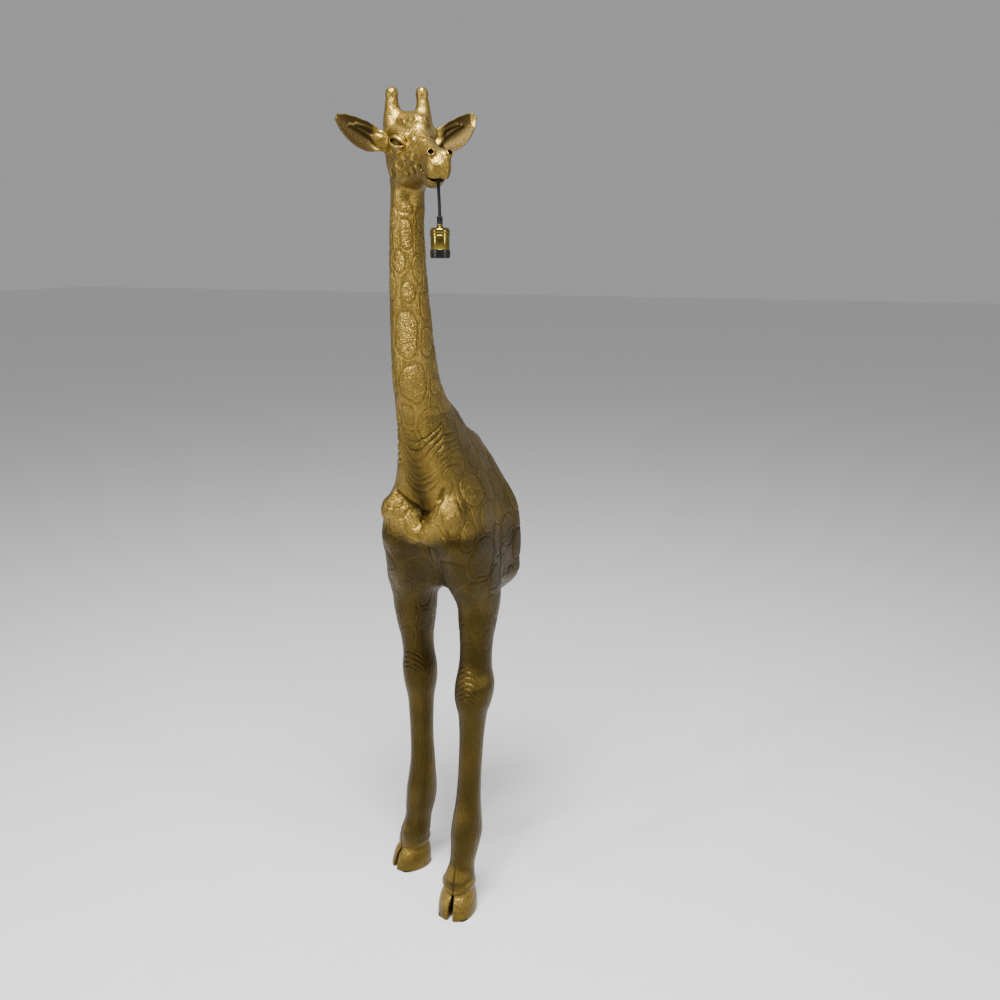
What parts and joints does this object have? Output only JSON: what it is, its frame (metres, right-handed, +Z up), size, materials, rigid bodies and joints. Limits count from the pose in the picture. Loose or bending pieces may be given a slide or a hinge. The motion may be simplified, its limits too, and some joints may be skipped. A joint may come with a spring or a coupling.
{
  "type": "giraffe floor lamp",
  "caption": "Front half of a standing giraffe as a gold cast floor lamp for use against a wall, with an empty screw lampholder hanging on a short cord from its mouth.",
  "frame": {"origin": "middle of the object's bounding box in plan, on the floor under the hooves", "axes": "+Z up, +Y towards the wall behind, -Y the way the animal's chest faces, +X the animal's left side"},
  "size_m": [0.3274, 0.4844, 1.907],
  "materials": {
    "gold_resin": "satin",
    "black_flex": "matte",
    "black_plastic": "satin",
    "antique_brass": "satin",
    "steel": "satin",
    "board": "matte",
    "rubber": "matte",
    "ceramic": "satin",
    "fibre": "matte"
  },
  "bodies": {
    "statue": {"head_shell": "gold_resin", "ear_left": "gold_resin", "ear_right": "gold_resin", "neck_shell": "gold_resin", "trunk_shell": "gold_resin", "leg_left": "gold_resin", "leg_right": "gold_resin", "foot_pad_left": "rubber", "foot_pad_right": "rubber", "back_board": "board", "board_screw_1": "steel", "board_screw_2": "steel", "board_screw_3": "steel", "board_screw_4": "steel", "board_screw_5": "steel", "board_screw_6": "steel", "hanger_plate": "steel", "hanger_screw_left": "steel", "hanger_screw_right": "steel", "armature_plate": "steel", "leg_rod_left": "steel", "leg_rod_right": "steel", "rod_nut_left": "steel", "rod_nut_right": "steel", "armature_bolt_left": "steel", "armature_nut_left": "steel", "armature_bolt_right": "steel", "armature_nut_right": "steel", "neck_tube": "steel", "cable_gland": "black_plastic", "gland_nut": "black_plastic", "inner_flex": "black_flex", "mouth_bush": "rubber"},
    "hanging_cord": {"pendant_cord": "black_flex"},
    "lampholder": {"cord_grip": "black_plastic", "grip_screw": "steel", "flex_tail": "black_flex", "cap_nipple": "antique_brass", "holder_cap": "antique_brass", "holder_shell": "antique_brass", "insulating_core": "ceramic", "terminal_screw_left": "antique_brass", "terminal_screw_right": "antique_brass", "contact_sleeve": "antique_brass", "holder_liner": "fibre"},
    "threaded_ring": {"shade_ring": "black_plastic"},
    "contact_tongue": {"centre_contact": "antique_brass"}
  },
  "joints": [
    {"name": "cord_swing", "type": "hinge", "parent": "statue", "child": "hanging_cord", "pos_m": [0.13896, -0.21742, 1.7224], "axis": [-0.7071, -0.7071, 0], "range_deg": [-12, 45]},
    {"name": "holder_tilt", "type": "hinge", "parent": "hanging_cord", "child": "lampholder", "pos_m": [0.14002, -0.21636, 1.656], "axis": [0.7071, -0.7071, 0], "range_deg": [-35, 35]},
    {"name": "ring_turn", "type": "hinge", "parent": "lampholder", "child": "threaded_ring", "pos_m": [0.14002, -0.21636, 1.586], "axis": [0, 0, 1], "range_deg": [0, 360]},
    {"name": "contact_press", "type": "slide", "parent": "lampholder", "child": "contact_tongue", "axis": [0, 0, 1], "range_m": [0, 0.002], "stiffness_N_per_m": 400, "springref_m": -0.0005}
  ]
}
